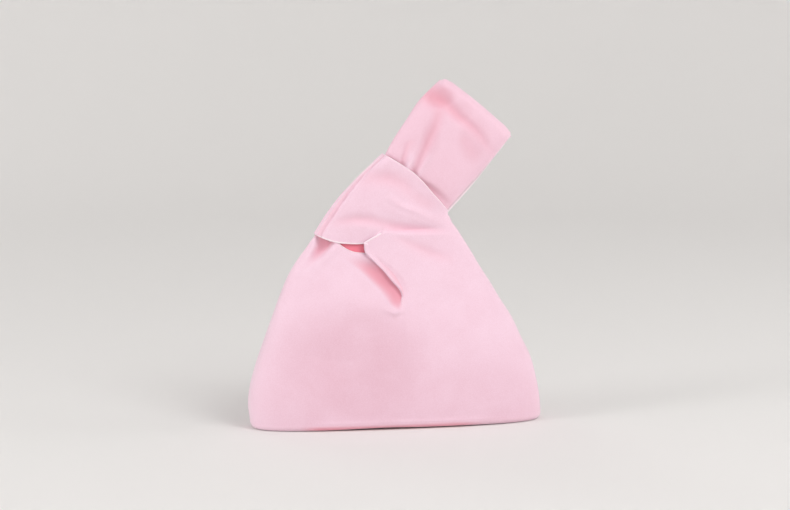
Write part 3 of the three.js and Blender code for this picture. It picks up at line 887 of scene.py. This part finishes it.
# Top of the carrying loop: distance across, then along
STRAP_TOP = [
    (-39.8, 77.6), (-38.8, 79), (-36, 80), (-20, 81.3), (0, 81.7), (18, 81.2), (29, 80.2), (33, 78.6),
    (34.7, 76),
]
# Length in which the top rounds over, half depth by distance along, half depth at the right and left edge,
# and power of the rounded section
STRAP_FOLD = 7.0
STRAP_DEPTH = [
    (-12, 4.2), (0, 5), (4, 5.8), (8, 6.3), (14, 6.7), (24, 7.3), (45, 8.2), (60, 8.5), (72, 8),
    (82, 6.6),
]
STRAP_EDGE = (1.5, 1.1)
STRAP_POWER = 4.5
STRAP_ROWS = 120
STRAP_COLUMNS = 84
# Length at first, and rounds in which the rows settle on the slanting top
STRAP_GUESS = 90.0
STRAP_ROUNDS = 20
# Share of the folds' depth that the back of the strap has
BACK_RELIEF = 0.5
# Soft ridges and valleys: rows of distance across, distance along, height and width
STRAP_CRESTS = [
    [(0, 0, 0, 3), (-11.4, 2.5, -1.2, 3), (-23.5, 3.2, -1.4, 3.2), (-35, 2.4, -0.9, 3.2)],
    [(4.8, -6, -0.8, 2.4), (5, 3.6, -1.7, 2.8), (8.2, 16.1, -2.2, 3.2), (11.3, 26.9, -2.4, 3.7),
     (13.6, 33.7, -2.4, 4), (15.6, 42.3, -2.3, 4.4), (19.8, 53, -2.1, 4.8), (24, 60, -1.2, 6)],
    [(0.8, -4, 0.3, 2.4), (1.2, 5, 0.9, 2.6), (4, 18.8, 0.8, 3.2), (8, 32.6, 0, 3.8)],
    [(16.6, -4, -0.8, 1.8), (17.2, 2.7, -1.6, 1.9), (20, 9.1, -1.7, 2.1), (23.8, 18.2, -1.3, 2.6),
     (21, 26, 0, 3)],
    [(11.4, -4, 0.8, 2.1), (11.8, 3.7, 1.8, 2.1), (14, 10.3, 1.6, 2.3), (17.6, 17.6, 0, 2.8)],
    [(42, 57, -2.4, 7), (34, 60.5, -4, 8), (28, 63.5, -4, 7), (20, 64.4, -3.4, 5.4), (12, 63, -3, 4.6),
     (3, 62.6, -2.6, 4.2), (-5, 63, -2.3, 4), (-12.5, 62.4, -1.8, 3.8), (-21, 60.8, -1.2, 3.6),
     (-31, 58.3, -0.8, 3.4), (-42, 54.5, -0.5, 3.4)],
    [(-5, 55, 0, 5), (-12, 50.5, -0.8, 5.5), (-22, 45.5, -0.8, 5.5), (-32, 42, 0, 5)],
]


def strap_place(along, across):
    """Front plane place of a point of the strap."""
    return KNOT + np.asarray(along)[..., None] * ALONG + np.asarray(across)[..., None] * ACROSS


def strap_depth(along, across, side):
    """Half depth of the strap at a place, on the front or the back, and its painted shade."""
    left, right = follow(STRAP_LEFT, along), follow(STRAP_RIGHT[side], along)
    share = 2 * (across - right) / (left - right) - 1
    edge = mix(*STRAP_EDGE, (share + 1) / 2)
    relief = crests(STRAP_CRESTS, across, along) * (1.0 if side < 0 else BACK_RELIEF)
    depth = follow(STRAP_DEPTH, along) + relief
    depth = edge + (depth - edge) * np.sqrt(1 - np.clip(np.abs(share), 0, 1) ** STRAP_POWER)
    top = follow(STRAP_TOP, across)
    turn = np.clip((along - top + STRAP_FOLD) / STRAP_FOLD, 0, 1)
    painted_shade = np.clip(STRAP_SHADE - relief / DEEP_VALLEY, 0, 1)
    return SEAM_HALF + (depth - SEAM_HALF) * np.sqrt(1 - turn**2), painted_shade


def strap_surface(side, margin=0.0):
    """Outer face of the strap's front or back, drawn in by a margin at its edges."""
    share = 2 * spread(STRAP_COLUMNS)[None, :] - 1
    level = np.sin(np.linspace(0, np.pi / 2, STRAP_ROWS + 1))[:, None]
    along = STRAP_FOOT + STRAP_GUESS * level + 0 * share
    for _ in range(STRAP_ROUNDS):
        left, right = follow(STRAP_LEFT, along) - margin, follow(STRAP_RIGHT[side], along) + margin
        across = mix(right, left, (share + 1) / 2)
        along = STRAP_FOOT + (follow(STRAP_TOP, across) - margin - STRAP_FOOT) * level
    depth, painted_shade = strap_depth(along, across, side)
    return grid_surface(strap_place(along, across), depth, painted_shade)


# Margin by which the strap's lining is drawn in at its edges, and its distance below the outer face
STRAP_LINING_MARGIN = 1.2
STRAP_LINING_INSET = 1.35


def join_neck_and_handle(piece):
    """Cloth that goes on from the neck of the strap into the carrying loop, with its placing baked into
    its mesh.
    """
    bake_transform(piece)


def add_strap_cloth(name, side):
    web = add_layer(f"strap_{name}", strap_surface(side), side, 0.0, WEB, CLOTH)
    join_neck_and_handle(web)
    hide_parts(f"neck_{name}_web", f"strap_bend_{name}", f"handle_{name}_web")


def add_strap_lining(name, side):
    surface = strap_surface(side, STRAP_LINING_MARGIN)
    lining = add_layer(f"strap_{name}_lining", surface, side, STRAP_LINING_INSET, LINING / 2, ROSE)
    join_neck_and_handle(lining)
    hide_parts(f"neck_{name}_lining", f"handle_{name}_lining")


for name, side in SIDES:
    add_strap_cloth(name, side)
    add_strap_lining(name, side)


# Gathered lower part of the strap, inside the short loop: edges for front (-1) and back (1)

ROOT_LEFT = {
    -1: [(-63, 160), (-57, 168.5), (-46, 182), (-31, 198.5), (-17.5, 209.5)],
    1: [(-69, 144), (-62.5, 156), (-57, 167), (-46, 182), (-31, 198.5), (-17.5, 209.5)],
}
ROOT_LOWER = {
    -1: [(-63, 160), (-58, 158.5), (-52, 157), (-46, 155.5)],
    1: [(-69, 144), (-54, 143), (-40, 139.5), (-28, 136.5), (-18, 135.5)],
}
ROOT_RIGHT = {
    -1: [(-46, 155.5), (-36, 159.5), (-18, 163.5), (8, 164.5), (34.8, 166)],
    1: [(-18, 135.5), (-10, 145), (4, 154), (20, 160), (34.8, 166)],
}
ROOT_STEPS = 60
# Half depth at the edges, what the middle has more, and the levels in which it rises to that
ROOT_EDGE = 1.0
ROOT_CROWN = 2.2
ROOT_SWELL = (-0.3, 0.5)
# Gathers: height, angle from edge to edge and at the first edge, and share that they lose upwards
GATHER_HEIGHT = 0.45
GATHER_ANGLE = 21.0
GATHER_START = 0.8
GATHER_FADE = 0.6
ROOT_THICKNESS = 0.9
ROOT_LINING_INSET = 0.95
ROOT_LINING = 0.2


def root_surface(side, inset):
    """Outer face of the gathered part, on the front or the back, less deep by an inset."""
    lower = curve_points(ROOT_LOWER[side], ROOT_STEPS)
    right = curve_points(ROOT_RIGHT[side], ROOT_STEPS)
    left = curve_points(ROOT_LEFT[side], ROOT_STEPS)
    upper = curve_points([ROOT_LEFT[side][-1], ROOT_RIGHT[side][-1]], ROOT_STEPS)
    place = between_edges(lower, upper, left, right)
    across = np.linspace(0, 1, ROOT_STEPS + 1)[None, :]
    level = np.linspace(0, 1, ROOT_STEPS + 1)[:, None]
    gather = GATHER_HEIGHT * np.sin(across * GATHER_ANGLE + GATHER_START) * (1 - GATHER_FADE * level)
    depth = ROOT_EDGE + (ROOT_CROWN + gather) * rounded(2 * across - 1) * ease(level, *ROOT_SWELL) - inset
    # The whole gathered part gets the full painted shade, for the shade inside the short loop
    return grid_surface(place, depth, np.ones(depth.shape))


def add_root(name, side):
    outside, inside = root_surface(side, 0.0), root_surface(side, ROOT_LINING_INSET)
    root = add_layer(f"strap_root_{name}_gathers", outside, side, 0.0, ROOT_THICKNESS, CLOTH)
    inner = add_layer(f"strap_root_{name}_inner", inside, side, 0.0, ROOT_LINING, ROSE)
    for piece, finish in ((root, "cloth"), (inner, "lining")):
        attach(piece, "pouch")
    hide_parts(f"strap_root_{name}")
    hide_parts(f"strap_root_lining_{name}")


for name, side in SIDES:
    add_root(name, side)


# Rolled hems of the free edges

HEM_SIDES = 12
HEM_STEPS = 70
# Shares of a hem's length in which its radius grows at each end
HEM_TAPER = (-0.01, 0.1)


def hem_roll(name, line, radii):
    """Round roll of cloth along a line of points, with its radius at each of them."""
    axis = np.gradient(line, axis=0)
    axis /= np.linalg.norm(axis, axis=1, keepdims=True)
    aside = np.cross(axis, [0.0, 1.0, 0.0])
    aside /= np.linalg.norm(aside, axis=1, keepdims=True)
    other = np.cross(axis, aside)
    turns = (np.arange(HEM_SIDES) * 2 * np.pi / HEM_SIDES)[:, None]
    round_section = aside[:, None] * np.cos(turns) + other[:, None] * np.sin(turns)
    rings = line[:, None] + radii[:, None, None] * round_section
    index = np.arange(rings.shape[0] * HEM_SIDES).reshape(-1, HEM_SIDES)
    return add_mesh(name, rings.reshape(-1, 3), tube_faces(index), [pale_edge])


LOOP_HEM_RADIUS = 0.85
MOUTH_HEM_RADIUS = 0.75
# Height at which the loop's hem ends on the notch, and count of the right top edge's points with a hem
NOTCH_HEIGHT = 159.0
MOUTH_POINTS = 4
# Hem of the back strap's right edge: distance along, then radius
STRAP_HEM = [(-12, 1.15), (10, 1.15), (30, 0.9), (50, 0.6), (76, 0.5)]


def add_edge_hem(name, side, edge, depth, radius):
    """Hem on a free edge, thinner towards both ends, on the front or the back of the bag."""
    share = np.linspace(0, 1, HEM_STEPS + 1)
    radii = radius * np.sqrt(ease(np.minimum(share, 1 - share), *HEM_TAPER))
    join_pouch_and_loop(hem_roll(name, at_depth(edge, side * (depth - WEB / 2)), radii))


def add_loop_hem(name, side):
    edge = curve_points(BAND_LOWER + [(NOTCH, NOTCH_HEIGHT)], HEM_STEPS)
    add_edge_hem(f"loop_hem_{name}", side, edge, band_depth(edge[:, 0], edge[:, 1])[0], LOOP_HEM_RADIUS)


def add_mouth_hem(name, side):
    edge = curve_points(RIGHT_TOP[:MOUTH_POINTS], HEM_STEPS)
    add_edge_hem(f"mouth_hem_{name}", side, edge, follow(RIGHT_DEPTH, edge[:, 1]), MOUTH_HEM_RADIUS)


def add_strap_hem():
    along = np.linspace(STRAP_HEM[0][0], STRAP_HEM[-1][0], HEM_STEPS + 1)
    radii = follow(STRAP_HEM, along)
    across = follow(STRAP_RIGHT[1], along)
    depth = strap_depth(along, across, 1)[0] - WEB / 2
    line = at_depth(strap_place(along, across + radii), depth)
    join_neck_and_handle(hem_roll("strap_hem_right", line, radii))


for name, side in SIDES:
    add_loop_hem(name, side)
    add_mouth_hem(name, side)
add_strap_hem()


# Stitching

STITCH_LENGTH = 2.1
STITCH_STEP = 3.0
STITCH_RADIUS = 0.22
STITCH_RINGS = 6
STITCH_SIDES = 6
# Part of a half turn whose sine gives a stitch's outline, and the least sine
STITCH_TAPER = (0.06, 0.94)
STITCH_TIP = 0.1
# Any direction that no seam runs in
SLANT = [0.31, 0.87, 0.38]
# Seams of the sides and of the short loop: count of points, heights, and distance inside the edge
SEAM_SAMPLES = 120
SIDE_HEIGHTS = (10.0, 108.0)
SIDE_INSET = 0.5
LOOP_HEIGHTS = (162.0, 221.0)
LOOP_INSET = 0.6
# Seam of the base: ends right of the middle, height and count of points
BASE_SEAM = (-96, 98)
BASE_SEAM_HEIGHT = 0.45
BASE_SAMPLES = 40
# Seam of the carrying loop's top: ends across the strap, distance below the edge, and count of points
TOP_SEAM = (-37.0, 32.0)
TOP_INSET = 0.5
TOP_SAMPLES = 60


def add_stitch(points, faces, start, end):
    """One stitch between two places, added to lists of points and faces."""
    axis = (end - start) / np.linalg.norm(end - start)
    aside = np.cross(axis, SLANT)
    aside /= np.linalg.norm(aside)
    other = np.cross(axis, aside)
    first = len(points)
    for ring in range(STITCH_RINGS + 1):
        share = ring / STITCH_RINGS
        radius = STITCH_RADIUS * max(math.sin(math.pi * mix(*STITCH_TAPER, share)), STITCH_TIP) ** 0.5
        middle = mix(start, end, share)
        for turn in np.arange(STITCH_SIDES) * 2 * np.pi / STITCH_SIDES:
            points.append(middle + radius * (aside * math.cos(turn) + other * math.sin(turn)))
    index = first + np.arange((STITCH_RINGS + 1) * STITCH_SIDES).reshape(-1, STITCH_SIDES)
    faces += tube_faces(index)


def stitch_row(name, line, node, body):
    """Row of short stitches along a line of points, in place of a CAD thread."""
    line = np.array(line, float)
    run = run_along(line)

    def at(distance):
        return np.array([np.interp(distance, run, line[:, a]) for a in range(3)])

    points, faces = [], []
    for k in range(int((run[-1] - STITCH_LENGTH) / STITCH_STEP) + 1):
        start = k * STITCH_STEP
        add_stitch(points, faces, at(start), at(start + STITCH_LENGTH))
    piece = add_mesh(name, points, faces, [pale_thread])
    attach(piece, body)
    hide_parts(node)


def side_line(table, ends, inset):
    """Line on a side of the bag, at a distance inside its edge."""
    heights = np.linspace(*ends, SEAM_SAMPLES)
    reach = follow(table, heights)
    return np.stack([reach - np.sign(reach) * inset, 0 * heights, heights], 1)


def top_line():
    """Line below the top edge of the carrying loop."""
    across = np.linspace(*TOP_SEAM, TOP_SAMPLES)
    return at_depth(strap_place(follow(STRAP_TOP, across) - TOP_INSET, across), 0 * across)


left_line = side_line(LEFT_SIDE, SIDE_HEIGHTS, SIDE_INSET)
right_line = side_line(RIGHT_SIDE, SIDE_HEIGHTS, SIDE_INSET)
base_line = [(x, 0.0, BASE_SEAM_HEIGHT) for x in np.linspace(*BASE_SEAM, BASE_SAMPLES)]
loop_line = side_line(BAND_SIDE, LOOP_HEIGHTS, LOOP_INSET)
stitch_row("left_side_stitches", left_line, "side_seam_thread_left", "pouch")
stitch_row("right_side_stitches", right_line, "side_seam_thread_right", "pouch")
stitch_row("base_stitches", base_line, "base_seam_thread", "pouch")
stitch_row("loop_stitches", loop_line, "loop_seam_thread", "short_loop")
stitch_row("handle_stitches", top_line(), "handle_seam_thread", "handle")

for material_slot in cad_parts["base_board"].material_slots:
    material_slot.material = grey_board


# Camera, light and floor

# Round floor and backdrop: reach and height, bend between them, flat part, and counts of steps
FLOOR_RADIUS = 2200.0
FLOOR_HEIGHT = 3400.0
FLOOR_BEND = 900.0
FLOOR_FLAT = 600.0
FLOOR_SIDES = 96
BEND_STEPS = 12
FLOOR_COLOUR = srgb(238, 236, 234)
FLOOR_ROUGHNESS = 0.9
CAMERA_FAR = 50.0
WORLD_COLOUR = (0.9, 0.92, 0.95, 1)
WORLD_LIGHT = 0.39
LAMP_AIM = (0, 0, 0.13)
# Lamps: name, place and size in metres, and power in watts
LAMPS = [
    ("key_lamp", (1.0, -1.3, 1.8), 1.3, 19.4),
    ("left_lamp", (-1.9, -0.6, 0.9), 0.8, 12.5),
    ("right_lamp", (2.0, -0.3, 0.8), 0.8, 5.5),
    ("back_lamp", (-0.9, 2.0, 1.2), 1.3, 8.0),
]


def add_aimed(name, data, place, direction):
    """Camera or lamp at a place, turned in a direction."""
    item = add_object(name, data)
    item.location = place
    item.rotation_mode = "QUATERNION"
    item.rotation_quaternion = direction.to_track_quat("-Z", "Y")
    return item


def add_camera():
    azimuth, elevation = math.radians(CAMERA_AZIMUTH), math.radians(CAMERA_ELEVATION)
    back = Vector((
        math.sin(azimuth) * math.cos(elevation),
        -math.cos(azimuth) * math.cos(elevation),
        math.sin(elevation),
    ))
    data = bpy.data.cameras.new("camera")
    data.lens = CAMERA_LENS
    data.sensor_width = CAMERA_SENSOR
    data.clip_end = CAMERA_FAR
    place = (Vector(CAMERA_TARGET) + back * CAMERA_DISTANCE) * MM
    bpy.context.scene.camera = add_aimed("camera", data, place, -back)


def add_floor():
    """Round pale floor that turns up into a backdrop."""
    flat = FLOOR_RADIUS - FLOOR_BEND
    profile = [(0.0, 0.0), (FLOOR_FLAT, 0.0), (flat, 0.0)]
    for k in range(1, BEND_STEPS + 1):
        turn = math.pi / 2 * k / BEND_STEPS
        profile.append((flat + FLOOR_BEND * math.sin(turn), FLOOR_BEND - FLOOR_BEND * math.cos(turn)))
    profile.append((FLOOR_RADIUS, FLOOR_HEIGHT))
    turns = np.arange(FLOOR_SIDES + 1) * 2 * np.pi / FLOOR_SIDES
    reach, height = np.hsplit(np.array(profile), 2)
    points = np.stack([reach * np.cos(turns), reach * np.sin(turns), height + 0 * turns], -1)
    material, _, shader = shader_tree("pale_floor")
    shader.inputs["Base Color"].default_value = FLOOR_COLOUR
    shader.inputs["Roughness"].default_value = FLOOR_ROUGHNESS
    faces = grid_faces(np.arange(height.size * turns.size).reshape(height.size, turns.size))
    add_mesh("floor", points.reshape(-1, 3), faces, [material])


def add_lamp(name, place, size, power):
    data = bpy.data.lights.new(name, "AREA")
    data.shape = "DISK"
    data.size = size
    data.energy = power
    add_aimed(name, data, place, Vector(LAMP_AIM) - Vector(place))


def add_world():
    world = bpy.data.worlds.new("studio")
    world.use_nodes = True
    background = world.node_tree.nodes["Background"]
    background.inputs["Color"].default_value = WORLD_COLOUR
    background.inputs["Strength"].default_value = WORLD_LIGHT
    bpy.context.scene.world = world


add_camera()
add_floor()
add_world()
for lamp in LAMPS:
    add_lamp(*lamp)
bpy.context.scene.view_settings.view_transform = "Standard"
